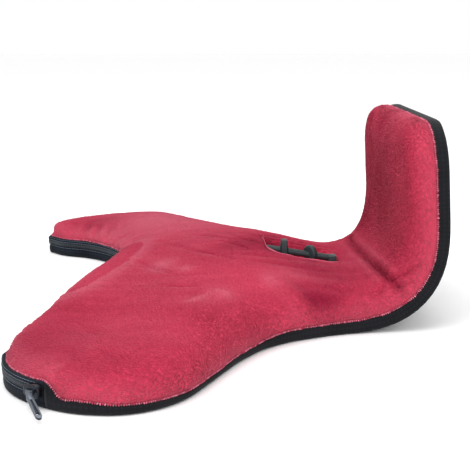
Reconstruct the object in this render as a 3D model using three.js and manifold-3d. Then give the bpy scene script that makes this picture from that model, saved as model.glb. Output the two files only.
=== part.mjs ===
// Tablet pillow: a filled cushion with a whale tail outline whose head end is bent up into a back rest.
// Plush cover on top, a plain dark band and a zip band round the edge, a dark panel underneath,
// and a small plastic rail with a stop in a slot of the cover.
// Millimetres. +X runs from the tail to the back rest, +Z is up, and the underside lies on Z = 0.

import * as THREE from "three";
import Module from "manifold-3d";
import { mergeVertices } from "three/addons/utils/BufferGeometryUtils.js";

const wasm = await Module();
wasm.setup();

// Driving dimensions of the cover, laid flat: "along" from the tail to the top, "out" from the centre line.
// The two flanks are alike but for the far lobe's longer reach, and the notch leans towards the far lobe.
const TIP = { along: -80, out: 150 };
const FLANK = [
  TIP,
  { along: -77.5, out: 167 },
  { along: -69.5, out: 183 },
  { along: -56, out: 197 },
  { along: -40, out: 206 },
  { along: -22, out: 208 },
  { along: -7, out: 202 },
  { along: 6, out: 189 },
  { along: 24, out: 153 },
  { along: 36, out: 129 },
  { along: 49, out: 110 },
  { along: 64, out: 97 },
  { along: 84, out: 87 },
];
const FAR_STRETCH = 1.09;
const TAIL_EDGE = [
  { along: TIP.along, out: -TIP.out },
  { along: -76, out: -133 },
  { along: -69, out: -110 },
  { along: -60.5, out: -80 },
  { along: -52, out: -48 },
  { along: -42, out: -14 },
  { along: -34, out: 22 },
  { along: -30, out: 56 },
  { along: -32, out: 84 },
  { along: -42, out: 108 },
  { along: -58, out: 126 },
  { along: -76, out: 136 },
  { along: TIP.along * FAR_STRETCH, out: TIP.out },
];
const HEAD_HALF_WIDTH = 79;
const HEAD_CORNER = 26;
const TOP_ALONG = 245;

// Height of the seam between plush and band, which dips where the flank is drawn in.
const PLAIN_SEAM = [
  { along: -45, height: 6.6 },
  { along: -15, height: 4.6 },
  { along: 20, height: 3.4 },
  { along: 42, height: 4.6 },
  { along: 62, height: 7 },
  { along: 125, height: 7.8 },
  { along: 190, height: 7.2 },
];

// Driving dimensions of the bend and of the thickness.
const BEND_START = 90;
const BEND_END = 196;
const BEND_ANGLE = THREE.MathUtils.degToRad(93);
const EDGE_THICKNESS = [
  { along: -90, height: 17 },
  { along: 60, height: 26 },
  { along: 70, height: 26 },
  { along: 190, height: 22 },
];
const CROWN = [
  { along: -45, height: 5 },
  { along: 47, height: 11 },
  { along: 112, height: 2 },
];
const CROWN_REACH = 85;
const CREASE = { along: 146, depth: 6, spread: 11, fade: 30 };

// Driving dimensions of the sewn pieces.
const GAP = 0.3;
const CLOTH = 1.3;
const PANEL = 1.5;
const ZIP_SEAM = 12.5;
const ZIP_END = -55.5;
const SEAM_STEP = 6;
const RIM_INSET = 5;
const FOOT = { inset: 4, rise: 1.4 };

// The roll of plush over the seam: offset from the rim, and part of the way up from the seam to the top.
// At the lobes' tips it is drawn in, so that the zip band stands proud of it.
const ROLL = [
  { offset: 0.6, part: 0.02 },
  { offset: 1.8, part: 0.25 },
  { offset: 1.8, part: 0.5 },
  { offset: 0.1, part: 0.78 },
];
const TIP_ROLL = { from: -52, to: -74, inset: 3 };

// Driving dimensions of the zip's slider and of the rail in the slot.
const CHAIN_LOW = 6.6;
const CHAIN_WIDTH = 3.8;
const CHAIN_PROUD = 0.9;
const SLIDER = { along: -58.6, length: 11, height: 7, tailHeight: 4.2, thick: 3.4, bevel: 0.4, offset: 1.2 };
const BRIDGE = { length: 5.5, height: 2.5, rise: 1.6 };
const PULLER = { length: 20, neck: 1.8, width: 4.6, thick: 1.2, eye: 0.9, endX: -54, endY: -223 };
const SLOT = { start: 57, end: 101, halfWidth: 20, corner: 7, floor: 19, cutHeight: 40 };
const RAIL = { radius: 2, start: 58, end: 99, startHeight: 32, endHeight: 25 };
const POST = { along: 69, length: 5, width: 8, height: 37 };
const STOP = { along: 85, radius: 5, thick: 6 };

// The underside's path through the bend, in steps of the flat length.
const SPINE_STEP = 0.5;
const spine = [{ along: BEND_START, x: BEND_START, z: 0 }];
while (spine.at(-1).along < TOP_ALONG + 10) {
  const last = spine.at(-1);
  const angle = bendAngle(last.along + SPINE_STEP / 2);
  const x = last.x + SPINE_STEP * Math.cos(angle);
  const z = last.z + SPINE_STEP * Math.sin(angle);
  spine.push({ along: last.along + SPINE_STEP, x, z });
}

function bendAngle(along) {
  return BEND_ANGLE * THREE.MathUtils.smoothstep(along, BEND_START, BEND_END);
}

// Takes a point of the flat cover, at a height above the underside, to its place on the bent pillow.
function place(along, out, height) {
  if (along <= BEND_START) return new THREE.Vector3(along, out, height);
  const step = (along - BEND_START) / SPINE_STEP;
  const index = Math.min(Math.floor(step), spine.length - 2);
  const part = step - index;
  const x = THREE.MathUtils.lerp(spine[index].x, spine[index + 1].x, part);
  const z = THREE.MathUtils.lerp(spine[index].z, spine[index + 1].z, part);
  const angle = bendAngle(along);
  return new THREE.Vector3(x - height * Math.sin(angle), out, z + height * Math.cos(angle));
}

function outlineCurve(rows) {
  const points = rows.map(({ along, out }) => new THREE.Vector3(along, out, 0));
  const curve = new THREE.CatmullRomCurve3(points, false, "centripetal");
  return (part) => {
    const point = curve.getPointAt(part);
    return { along: point.x, out: point.y };
  };
}

const flankAt = outlineCurve(FLANK);
const tailEdgeAt = outlineCurve(TAIL_EDGE);

// Half width past the waist: it eases into the head's width and is rounded off at the top corners.
const WAIST = FLANK.at(-1);
const WAIST_EASE = 18;

function headHalfWidth(along) {
  const ease = Math.exp((WAIST.along - along) / WAIST_EASE);
  const width = HEAD_HALF_WIDTH + (WAIST.out - HEAD_HALF_WIDTH) * ease;
  const past = along - (TOP_ALONG - HEAD_CORNER);
  if (past <= 0) return width;
  return width - HEAD_CORNER + Math.sqrt(Math.max(HEAD_CORNER ** 2 - past ** 2, 0));
}

// Fractions from 0 to 1, closer together at both ends.
function easedSteps(count, strength) {
  return Array.from({ length: count + 1 }, (_, i) => {
    const even = i / count;
    const bunched = (1 - Math.cos(Math.PI * even)) / 2;
    return THREE.MathUtils.lerp(even, bunched, strength);
  });
}

// The net's rows past the waist: even steps, closer in the bend and round the top corners.
const BODY_STEP = 12;
const BEND_STEP = 6;
const CORNER_STEPS = 6;
const headRows = [];
let rowAlong = WAIST.along;
while (rowAlong < TOP_ALONG - HEAD_CORNER - BODY_STEP / 2) {
  headRows.push(rowAlong);
  const inBend = rowAlong > BEND_START && rowAlong < BEND_END;
  rowAlong += inBend ? BEND_STEP : BODY_STEP;
}
for (let i = 0; i <= CORNER_STEPS; i++) {
  const turn = (i / CORNER_STEPS) * (Math.PI / 2);
  headRows.push(TOP_ALONG - HEAD_CORNER + HEAD_CORNER * Math.sin(turn));
}

// The rim: stations round the outline, each with its outward direction.
const ACROSS = 34;
const FLANK_STEPS = 34;
const acrossSteps = easedSteps(ACROSS, 0.5);
const flankSteps = easedSteps(FLANK_STEPS, 0.2);
const nearSide = [
  ...flankSteps.slice(0, -1).map(flankAt),
  ...headRows.map((along) => ({ along, out: headHalfWidth(along) })),
].map(({ along, out }) => ({ along, out: -out }));
const topWidth = headHalfWidth(TOP_ALONG);
const topEdge = acrossSteps.map((f) => ({ along: TOP_ALONG, out: topWidth * (2 * f - 1) }));
const farSide = nearSide.map(({ along, out }) => ({
  along: along < 0 ? along * FAR_STRETCH : along,
  out: -out,
})).reverse();
const tailEdge = acrossSteps.map((f) => ({ ...tailEdgeAt(1 - f), tail: true }));
const rim = [...nearSide, ...topEdge.slice(1), ...farSide.slice(1), ...tailEdge.slice(1, -1)];
const NEAR_COUNT = nearSide.length;
rim.forEach((station, i) => {
  const before = rim.at(i - 1);
  const after = rim[(i + 1) % rim.length];
  const length = Math.hypot(after.along - before.along, after.out - before.out);
  station.normalAlong = (after.out - before.out) / length;
  station.normalOut = -(after.along - before.along) / length;
});

// Height read from a table at a place along the cover, easing from row to row.
function heightFrom(rows, along) {
  const next = rows.findIndex((row) => row.along > along);
  if (next === 0) return rows[0].height;
  if (next < 0) return rows.at(-1).height;
  const before = rows[next - 1];
  const part = THREE.MathUtils.smoothstep(along, before.along, rows[next].along);
  return THREE.MathUtils.lerp(before.height, rows[next].height, part);
}

// Height of the seam at a station: higher over the zip, with a soft step at its ends.
function seamHeight(station) {
  if (station.tail) return ZIP_SEAM;
  const step = THREE.MathUtils.smoothstep(station.along, ZIP_END, ZIP_END + SEAM_STEP);
  return THREE.MathUtils.lerp(ZIP_SEAM, heightFrom(PLAIN_SEAM, station.along), step);
}

function rimDistance(along, out) {
  let nearest = Infinity;
  for (let i = 0; i < rim.length; i++) {
    const a = rim[i];
    const b = rim[(i + 1) % rim.length];
    const run = b.along - a.along;
    const rise = b.out - a.out;
    const part = ((along - a.along) * run + (out - a.out) * rise) / (run * run + rise * rise);
    const t = THREE.MathUtils.clamp(part, 0, 1);
    nearest = Math.min(nearest, Math.hypot(along - a.along - t * run, out - a.out - t * rise));
  }
  return nearest;
}

// Thickness of the filled cushion: the edge's, a crown that grows with the distance from the rim,
// and a crease across the inside of the bend.
function thickness(along, out) {
  const inside = Math.max(rimDistance(along, out) - RIM_INSET, 0);
  const rise = 1 - (1 - Math.min(inside / CROWN_REACH, 1)) ** 2;
  const crease = CREASE.depth * Math.exp(-(((along - CREASE.along) / CREASE.spread) ** 2));
  const creaseFade = THREE.MathUtils.smoothstep(inside, 0, CREASE.fade);
  return heightFrom(EDGE_THICKNESS, along) + rise * heightFrom(CROWN, along) - crease * creaseFade;
}

// One closed solid from rings of points and the caps that close them.
class Shell {
  constructor() {
    this.points = [];
    this.faces = [];
  }

  ring(points) {
    const first = this.points.length;
    this.points.push(...points);
    return points.map((_, i) => first + i);
  }

  quad(a, b, c, d) {
    this.faces.push(a, b, c, a, c, d);
  }

  wall(lower, upper, closed = true) {
    const count = closed ? lower.length : lower.length - 1;
    for (let i = 0; i < count; i++) {
      const next = (i + 1) % lower.length;
      this.quad(lower[i], lower[next], upper[next], upper[i]);
    }
  }

  geometry() {
    const geometry = new THREE.BufferGeometry();
    geometry.setAttribute("position", new THREE.Float32BufferAttribute(
      this.points.flatMap((point) => point.toArray()), 3));
    geometry.setIndex(this.faces);
    return geometry;
  }
}

// The rim's stations, moved outward by an offset, at a height and with a drawing in that may differ
// from station to station.
function rimRing(offset, heightAt, drawnIn = () => 0) {
  return rim.map((station) => place(
    station.along + (offset - drawnIn(station)) * station.normalAlong,
    station.out + (offset - drawnIn(station)) * station.normalOut,
    heightAt(station)));
}

// Closes a ring that follows the rim with a face that is flat across the pillow.
function flatCap(shell, ring, facesUp) {
  const far = (row) => ring[2 * NEAR_COUNT + ACROSS - 2 - row];
  const waistRow = FLANK_STEPS;
  const tail = [];
  for (let i = 0; i <= waistRow; i++) tail.push(i);
  for (let i = waistRow; i >= 0; i--) tail.push(2 * NEAR_COUNT + ACROSS - 2 - i);
  for (let i = 2 * NEAR_COUNT + ACROSS - 1; i < rim.length; i++) tail.push(i);
  const contour = tail.map((i) => new THREE.Vector2(rim[i].along, rim[i].out));
  const add = (a, b, c) => shell.faces.push(...(facesUp ? [a, b, c] : [c, b, a]));
  for (const [a, b, c] of THREE.ShapeUtils.triangulateShape(contour, [])) {
    add(ring[tail[a]], ring[tail[b]], ring[tail[c]]);
  }
  for (let row = waistRow; row < NEAR_COUNT - 1; row++) {
    add(ring[row], ring[row + 1], far(row + 1));
    add(ring[row], far(row + 1), far(row));
  }
  for (let i = NEAR_COUNT - 1; i < NEAR_COUNT + ACROSS - 2; i++) {
    add(ring[i], ring[i + 1], far(NEAR_COUNT - 1));
  }
}

// The crowned top: a net over the cover whose border is the ring just inside the rim.
function crownedTop(shell, border) {
  const inset = rim.map((station) => ({
    along: station.along - RIM_INSET * station.normalAlong,
    out: station.out - RIM_INSET * station.normalOut,
  }));
  const farIndex = (row) => 2 * NEAR_COUNT + ACROSS - 2 - row;
  const tailIndex = (column) => (column === 0 ? 0 : rim.length - column);
  const mix = (a, b, t) => ({
    along: THREE.MathUtils.lerp(a.along, b.along, t),
    out: THREE.MathUtils.lerp(a.out, b.out, t),
  });
  const rowEnds = (row) => [inset[row], inset[farIndex(row)]];
  const [waistNear, waistFar] = rowEnds(FLANK_STEPS);
  const net = [];
  for (let row = 0; row < NEAR_COUNT; row++) {
    const [near, far] = rowEnds(row);
    const line = [];
    for (let column = 0; column <= ACROSS; column++) {
      const u = acrossSteps[column];
      if (row === 0) line.push(border[tailIndex(column)]);
      else if (row === NEAR_COUNT - 1) line.push(border[NEAR_COUNT - 1 + column]);
      else if (column === 0) line.push(border[row]);
      else if (column === ACROSS) line.push(border[farIndex(row)]);
      else {
        const point = mix(near, far, u);
        if (row < FLANK_STEPS) {
          const v = flankSteps[row];
          const tail = inset[tailIndex(column)];
          const waist = mix(waistNear, waistFar, u);
          const across = mix(inset[0], inset[farIndex(0)], u);
          point.along += (1 - v) * (tail.along - across.along) + v * (waist.along - waist.along);
          point.out += (1 - v) * (tail.out - across.out);
        }
        const height = thickness(point.along, point.out);
        line.push(shell.ring([place(point.along, point.out, height)])[0]);
      }
    }
    net.push(line);
  }
  for (let row = 0; row < NEAR_COUNT - 1; row++) {
    for (let column = 0; column < ACROSS; column++) {
      shell.quad(net[row][column], net[row + 1][column], net[row + 1][column + 1], net[row][column + 1]);
    }
  }
}

function solid(geometry) {
  const bare = geometry.clone();
  bare.deleteAttribute("normal");
  bare.deleteAttribute("uv");
  const merged = mergeVertices(bare, 1e-4);
  const index = merged.index ?? { array: [...Array(merged.attributes.position.count).keys()] };
  return new wasm.Manifold(new wasm.Mesh({
    numProp: 3,
    vertProperties: new Float32Array(merged.attributes.position.array),
    triVerts: new Uint32Array(index.array),
  }));
}

function geometryOf(manifold) {
  const mesh = manifold.getMesh();
  const geometry = new THREE.BufferGeometry();
  geometry.setAttribute("position", new THREE.BufferAttribute(mesh.vertProperties, 3));
  geometry.setIndex(new THREE.BufferAttribute(mesh.triVerts, 1));
  return geometry;
}

// Red filled cushion: drawn-in side behind the band, a roll over the seam, and the crowned top.
function cushionGeometry() {
  const shell = new Shell();
  const edge = (station) => heightFrom(EDGE_THICKNESS, station.along);
  const rollHeight = (station, part) => THREE.MathUtils.lerp(seamHeight(station), edge(station), part);
  const drawnIn = (station) => {
    const tipness = 1 - THREE.MathUtils.smoothstep(station.along, TIP_ROLL.to, TIP_ROLL.from);
    return TIP_ROLL.inset * tipness;
  };
  const levels = [
    rimRing(-FOOT.inset, () => PANEL + GAP),
    rimRing(-(CLOTH + GAP), () => PANEL + GAP + FOOT.rise),
    rimRing(-(CLOTH + GAP), seamHeight),
    ...ROLL.map(({ offset, part }) => rimRing(offset, (station) => rollHeight(station, part), drawnIn)),
    rimRing(-RIM_INSET, edge, drawnIn),
  ].map((points) => shell.ring(points));
  for (let i = 1; i < levels.length; i++) shell.wall(levels[i - 1], levels[i]);
  flatCap(shell, levels[0], false);
  crownedTop(shell, levels.at(-1));
  return shell.geometry();
}

// The slot for the rail: a pocket with rounded corners sunk into the cushion's crown.
function slotGeometry() {
  const { start, end, halfWidth, corner, floor, cutHeight } = SLOT;
  const shape = new THREE.Shape();
  shape.moveTo(start + corner, -halfWidth);
  shape.lineTo(end - corner, -halfWidth);
  shape.absarc(end - corner, -halfWidth + corner, corner, -Math.PI / 2, 0);
  shape.lineTo(end, halfWidth - corner);
  shape.absarc(end - corner, halfWidth - corner, corner, 0, Math.PI / 2);
  shape.lineTo(start + corner, halfWidth);
  shape.absarc(start + corner, halfWidth - corner, corner, Math.PI / 2, Math.PI);
  shape.lineTo(start, -halfWidth + corner);
  shape.absarc(start + corner, -halfWidth + corner, corner, Math.PI, Math.PI * 1.5);
  const options = { depth: cutHeight, bevelEnabled: false, curveSegments: 4 };
  const geometry = new THREE.ExtrudeGeometry(shape, options);
  geometry.translate(0, 0, floor);
  return geometry;
}

// Dark panel underneath and up the back, a sheet that ends inside the band.
function undersideGeometry() {
  const shell = new Shell();
  const lower = shell.ring(rimRing(-(CLOTH + GAP), () => 0));
  const upper = shell.ring(rimRing(-(CLOTH + GAP), () => PANEL));
  shell.wall(lower, upper);
  flatCap(shell, lower, false);
  flatCap(shell, upper, true);
  return shell.geometry();
}

// A station at a fraction between two whole ones, counted round the rim.
function rimAt(count) {
  const wrapped = THREE.MathUtils.euclideanModulo(count, rim.length);
  const a = rim[Math.floor(wrapped)];
  const b = rim[(Math.floor(wrapped) + 1) % rim.length];
  const part = wrapped - Math.floor(wrapped);
  const blend = (key) => THREE.MathUtils.lerp(a[key], b[key], part);
  const height = THREE.MathUtils.lerp(seamHeight(a), seamHeight(b), part);
  return {
    along: blend("along"),
    out: blend("out"),
    normalAlong: blend("normalAlong"),
    normalOut: blend("normalOut"),
    seam: height,
  };
}

// A strip round part of the rim. The section gives its corners as offset and height at a station.
function stripGeometry(from, to, section) {
  const stations = [rimAt(from)];
  for (let i = Math.ceil(from + 0.1); i < to - 0.1; i++) stations.push(rimAt(i));
  stations.push(rimAt(to));
  const shell = new Shell();
  const rings = stations.map((station) => shell.ring(section(station).map(([offset, height]) => place(
    station.along + offset * station.normalAlong,
    station.out + offset * station.normalOut,
    height))));
  for (let i = 1; i < rings.length; i++) shell.wall(rings[i], rings[i - 1]);
  const fan = (ring, flip) => {
    for (let i = 1; i < ring.length - 1; i++) {
      shell.faces.push(...(flip ? [ring[0], ring[i + 1], ring[i]] : [ring[0], ring[i], ring[i + 1]]));
    }
  };
  fan(rings[0], false);
  fan(rings.at(-1), true);
  return shell.geometry();
}

// The count of the place on the near flank that lies this far along, past the tip.
function nearCount(along) {
  const next = nearSide.findIndex((station, i) => i > 0 && station.along > along);
  const before = nearSide[next - 1].along;
  return next - 1 + (along - before) / (nearSide[next].along - before);
}

// Where the zip ends on the near and on the far lobe, counted in stations round the rim.
const nearZipEnd = nearCount(ZIP_END);
const farZipEnd = 2 * NEAR_COUNT + ACROSS - 2 - nearZipEnd;
const END_GAP = 0.05;
const BAND_FOOT = 0.6;
const BAND_EDGE = -0.2;
const BAND_BELLY = 0.6;

// A band's section: flat inside, a little bellied outside, as offset from the rim and height.
function bandSection(low, high) {
  return [
    [-CLOTH, low],
    [BAND_EDGE, low],
    [BAND_BELLY, THREE.MathUtils.lerp(low, high, 0.35)],
    [BAND_BELLY, THREE.MathUtils.lerp(low, high, 0.65)],
    [BAND_EDGE, high],
    [-CLOTH, high],
  ];
}

const pillow = new THREE.Group();

function addPiece(name, geometry, material) {
  const mesh = new THREE.Mesh(geometry, material);
  mesh.name = name;
  pillow.add(mesh);
  return mesh;
}

const plush = new THREE.MeshStandardMaterial({ color: "#b23a52", roughness: 0.95, metalness: 0 });
const bandCloth = new THREE.MeshStandardMaterial({ color: "#1b1c22", roughness: 0.85, metalness: 0 });
const zipCloth = new THREE.MeshStandardMaterial({ color: "#2f3a47", roughness: 0.8, metalness: 0 });
const zipNylon = new THREE.MeshStandardMaterial({ color: "#1d232b", roughness: 0.5, metalness: 0 });
const darkMetal = new THREE.MeshStandardMaterial({ color: "#34363a", roughness: 0.35, metalness: 0.9 });
const railPlastic = new THREE.MeshStandardMaterial({ color: "#3d4a4c", roughness: 0.5, metalness: 0 });

const cushion = solid(cushionGeometry()).subtract(solid(slotGeometry()));
addPiece("cushion", geometryOf(cushion), plush);
addPiece("underside_panel", undersideGeometry(), bandCloth);
addPiece("side_band", stripGeometry(nearZipEnd + END_GAP, farZipEnd - END_GAP,
  (station) => bandSection(BAND_FOOT, station.seam - GAP)), bandCloth);

const zipFrom = farZipEnd + END_GAP;
const zipTo = nearZipEnd + rim.length - END_GAP;
const CHAIN_HIGH = CHAIN_LOW + CHAIN_WIDTH;
addPiece("zip_tape_lower", stripGeometry(zipFrom, zipTo,
  () => bandSection(BAND_FOOT, CHAIN_LOW - GAP)), zipCloth);
addPiece("zip_chain", stripGeometry(zipFrom, zipTo,
  () => [[-CLOTH, CHAIN_LOW], [CHAIN_PROUD, CHAIN_LOW], [CHAIN_PROUD, CHAIN_HIGH], [-CLOTH, CHAIN_HIGH]],
), zipNylon);
addPiece("zip_tape_upper", stripGeometry(zipFrom, zipTo,
  (station) => bandSection(CHAIN_HIGH + GAP, station.seam - GAP)), zipCloth);

// The frame of the near lobe's flank where the slider sits: outward, up and forward along the zip.
const sliderStation = rimAt(nearCount(SLIDER.along));
const outward = new THREE.Vector3(sliderStation.normalAlong, sliderStation.normalOut, 0).normalize();
const upward = new THREE.Vector3(0, 0, 1);
const forward = new THREE.Vector3().crossVectors(upward, outward);
const sliderHeight = CHAIN_LOW + CHAIN_WIDTH / 2;

function sliderFrame(mesh, offset, height) {
  mesh.matrixAutoUpdate = false;
  mesh.matrix.makeBasis(forward, upward, outward);
  const origin = new THREE.Vector3(sliderStation.along, sliderStation.out, height);
  mesh.matrix.setPosition(origin.addScaledVector(outward, offset));
}

// Slider: a shield shape, wide at the front where the two rows part and narrow at the back,
// with a low bridge on its face that holds the puller.
function sliderGeometry() {
  const { length, height, tailHeight, thick, bevel } = SLIDER;
  const shoulder = length * 0.2;
  const shape = new THREE.Shape();
  shape.moveTo(-length / 2, -tailHeight / 2);
  shape.lineTo(shoulder, -height / 2);
  shape.quadraticCurveTo(length / 2, -height / 2, length / 2, 0);
  shape.quadraticCurveTo(length / 2, height / 2, shoulder, height / 2);
  shape.lineTo(-length / 2, tailHeight / 2);
  const body = new THREE.ExtrudeGeometry(shape, {
    depth: thick - 2 * bevel,
    bevelThickness: bevel,
    bevelSize: bevel,
    bevelSegments: 1,
    curveSegments: 4,
  });
  body.translate(0, 0, bevel);
  const arch = new THREE.BoxGeometry(BRIDGE.length, BRIDGE.height, 2 * BRIDGE.rise);
  arch.translate(0, 0, thick);
  return geometryOf(solid(body).add(solid(arch)));
}
sliderFrame(addPiece("zip_slider", sliderGeometry(), darkMetal), SLIDER.offset, sliderHeight);

// Puller: a long narrow plate with an eye near its end, lying out from the slider down to the floor.
function pullerGeometry() {
  const { length, neck, width, thick, eye } = PULLER;
  const shape = new THREE.Shape();
  shape.moveTo(0, -neck / 2);
  shape.lineTo(width, -width / 2);
  shape.lineTo(length - width / 2, -width / 2);
  shape.absarc(length - width / 2, 0, width / 2, -Math.PI / 2, Math.PI / 2);
  shape.lineTo(width, width / 2);
  shape.lineTo(0, neck / 2);
  const hole = new THREE.Path();
  hole.absarc(length - width * 0.75, 0, eye, 0, Math.PI * 2);
  shape.holes.push(hole);
  return new THREE.ExtrudeGeometry(shape, { depth: thick, bevelEnabled: false, curveSegments: 6 });
}
const puller = addPiece("zip_puller", pullerGeometry(), darkMetal);
const pullerStart = SLIDER.offset + SLIDER.thick + BRIDGE.rise + GAP + PULLER.neck / 2;
const pullerTop = new THREE.Vector3(sliderStation.along, sliderStation.out, sliderHeight)
  .addScaledVector(outward, pullerStart);
const pullerEnd = new THREE.Vector3(PULLER.endX, PULLER.endY, PULLER.thick / 2);
const pullerRun = new THREE.Vector3().subVectors(pullerEnd, pullerTop).normalize();
const pullerAcross = new THREE.Vector3().crossVectors(upward, pullerRun).normalize();
const pullerFace = new THREE.Vector3().crossVectors(pullerRun, pullerAcross);
puller.matrixAutoUpdate = false;
puller.matrix.makeBasis(pullerRun, pullerAcross, pullerFace);
puller.matrix.setPosition(pullerTop);

// Rail: a round bar that slopes with the crown, moulded with a square post that stands in the slot.
function railHeight(along) {
  return THREE.MathUtils.mapLinear(along, RAIL.start, RAIL.end, RAIL.startHeight, RAIL.endHeight);
}

function barGeometry(radius, from, to) {
  const start = new THREE.Vector3(from, 0, railHeight(from));
  const end = new THREE.Vector3(to, 0, railHeight(to));
  const bar = new THREE.CylinderGeometry(radius, radius, start.distanceTo(end), 16);
  const turn = new THREE.Quaternion().setFromUnitVectors(
    new THREE.Vector3(0, 1, 0), end.clone().sub(start).normalize());
  bar.applyQuaternion(turn);
  bar.translate(...start.clone().lerp(end, 0.5).toArray());
  return bar;
}

const postFloor = SLOT.floor + GAP;
const postBox = new THREE.BoxGeometry(POST.length, POST.width, POST.height - postFloor);
postBox.translate(POST.along, 0, (POST.height + postFloor) / 2);
const endPostTop = RAIL.endHeight + RAIL.radius;
const endPost = new THREE.BoxGeometry(POST.length, POST.width, endPostTop - postFloor);
endPost.translate(SLOT.end - GAP - POST.length / 2, 0, (endPostTop + postFloor) / 2);
const rail = solid(barGeometry(RAIL.radius, RAIL.start, RAIL.end))
  .add(solid(postBox))
  .add(solid(endPost));
addPiece("stop_rail", geometryOf(rail), railPlastic);

// Stop: a round knob threaded on the rail.
const knob = solid(barGeometry(STOP.radius, STOP.along - STOP.thick / 2, STOP.along + STOP.thick / 2))
  .subtract(solid(barGeometry(RAIL.radius + GAP, STOP.along - STOP.thick, STOP.along + STOP.thick)));
addPiece("stop_knob", geometryOf(knob), railPlastic);

export default pillow;
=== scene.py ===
import math

import bmesh
import bpy
import numpy as np
from mathutils import Matrix, Vector, noise
from mathutils.bvhtree import BVHTree
from mathutils.kdtree import KDTree


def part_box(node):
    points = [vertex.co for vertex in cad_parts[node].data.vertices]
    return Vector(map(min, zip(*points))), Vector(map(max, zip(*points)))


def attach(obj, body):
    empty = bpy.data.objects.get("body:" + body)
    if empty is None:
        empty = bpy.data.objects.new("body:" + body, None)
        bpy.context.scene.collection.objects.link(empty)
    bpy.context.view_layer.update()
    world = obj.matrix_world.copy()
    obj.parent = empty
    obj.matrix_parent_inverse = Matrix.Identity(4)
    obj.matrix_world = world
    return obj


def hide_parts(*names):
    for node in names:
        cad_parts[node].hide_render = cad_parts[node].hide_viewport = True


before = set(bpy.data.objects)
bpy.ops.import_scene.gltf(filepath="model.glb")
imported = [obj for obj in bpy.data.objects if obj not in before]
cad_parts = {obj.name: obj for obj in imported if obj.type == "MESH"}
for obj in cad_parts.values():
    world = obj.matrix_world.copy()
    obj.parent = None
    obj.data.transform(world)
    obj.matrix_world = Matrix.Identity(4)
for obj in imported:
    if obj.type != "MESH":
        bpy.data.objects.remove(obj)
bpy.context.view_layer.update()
mm = 0.001  # the frame is in metres


# Camera
# It stands where the photograph was taken from: low over the table, in front of the near side,
# looking 10.8 degrees down and 3.2 degrees to the right.
camera_data = bpy.data.cameras.new("camera")
camera_data.sensor_width = 36
camera_data.lens = 90.6
camera = bpy.data.objects.new("camera", camera_data)
camera.location = (0, -0.701, 0.174)
camera.rotation_euler = (math.radians(90 - 10.8), 0, math.radians(-3.2))
bpy.context.scene.collection.objects.link(camera)
bpy.context.scene.camera = camera


# Floor
# A pale matt table top under soft studio light: a softbox high on the left, one low in front and a
# wide one overhead.
def linear(hex_colour):
    """An sRGB hex colour as linear red, green, blue and alpha."""
    parts = [int(hex_colour[i:i + 2], 16) / 255 for i in (1, 3, 5)]
    return [p / 12.92 if p <= 0.04045 else ((p + 0.055) / 1.055) ** 2.4 for p in parts] + [1]


def add_node(tree, kind, inputs=None, **settings):
    """Adds a node, sets its own settings, and fills or links its inputs by name or number."""
    node = tree.nodes.new(kind)
    for name, value in settings.items():
        setattr(node, name, value)
    for key, value in (inputs or {}).items():
        if isinstance(value, bpy.types.NodeSocket):
            tree.links.new(value, node.inputs[key])
        else:
            node.inputs[key].default_value = value
    return node


def new_material(name, **shader_inputs):
    """A material with one Principled shader. Returns the material, its tree and the shader."""
    material = bpy.data.materials.new(name)
    material.use_nodes = True
    tree = material.node_tree
    shader = tree.nodes["Principled BSDF"]
    for key, value in shader_inputs.items():
        shader.inputs[key.replace("_", " ").title().replace("Ior", "IOR")].default_value = value
    return material, tree, shader


def mottled(name, dark, light, scale, detail, strength=0, depth=0, **shader_inputs):
    """A material whose colour wanders finely between two, with a fine relief where strength is given."""
    material, tree, shader = new_material(name, **shader_inputs)
    place = add_node(tree, "ShaderNodeTexCoord").outputs["Object"]
    mottling = add_node(tree, "ShaderNodeTexNoise", {
        "Vector": place, "Scale": scale, "Detail": detail}).outputs["Fac"]
    colour = add_node(tree, "ShaderNodeMix", {
        0: mottling, 6: linear(dark), 7: linear(light)}, data_type="RGBA").outputs[2]
    tree.links.new(colour, shader.inputs["Base Color"])
    if strength:
        relief = add_node(tree, "ShaderNodeBump", {
            "Height": mottling, "Strength": strength, "Distance": depth})
        tree.links.new(relief.outputs["Normal"], shader.inputs["Normal"])
    return material, tree, shader, mottling, colour


def new_piece(name, points, faces, material):
    """A mesh object at the origin, smooth shaded."""
    mesh = bpy.data.meshes.new(name)
    mesh.from_pydata([tuple(p) for p in points], [], [tuple(int(i) for i in f) for f in faces])
    mesh.shade_smooth()
    mesh.materials.append(material)
    piece = bpy.data.objects.new(name, mesh)
    bpy.context.scene.collection.objects.link(piece)
    return piece


floor_material, *_ = mottled("matt_table_laminate", "#FAFAFB", "#FFFFFF", 40.0, 2.0, roughness=0.6)
half_floor = 4.0
floor_corners = [(x * half_floor, y * half_floor, 0) for x, y in ((-1, -1), (1, -1), (1, 1), (-1, 1))]
floor = new_piece("floor", floor_corners, [(0, 1, 2, 3)], floor_material)

studio = bpy.data.worlds.new("studio")
studio.use_nodes = True
studio.node_tree.nodes["Background"].inputs["Color"].default_value = (1, 1, 1, 1)
studio.node_tree.nodes["Background"].inputs["Strength"].default_value = 1.0
bpy.context.scene.world = studio
bpy.context.scene.view_settings.view_transform = "Standard"

for light_name, light_place, light_size, light_power in (
    ("softbox_left", (-0.45, -0.52, 1.05), 0.8, 6.5),
    ("softbox_front", (0.35, -1.15, 0.4), 0.7, 4.6),
    ("softbox_above", (0.05, 0.25, 1.2), 0.9, 4.4),
):
    light_data = bpy.data.lights.new(light_name, "AREA")
    light_data.shape = "SQUARE"
    light_data.size = light_size
    light_data.energy = light_power
    light = bpy.data.objects.new(light_name, light_data)
    light.location = light_place
    light.rotation_euler = (Vector((0, 0, 0.03)) - Vector(light_place)).to_track_quat("-Z", "Y").to_euler()
    bpy.context.scene.collection.objects.link(light)


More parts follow.
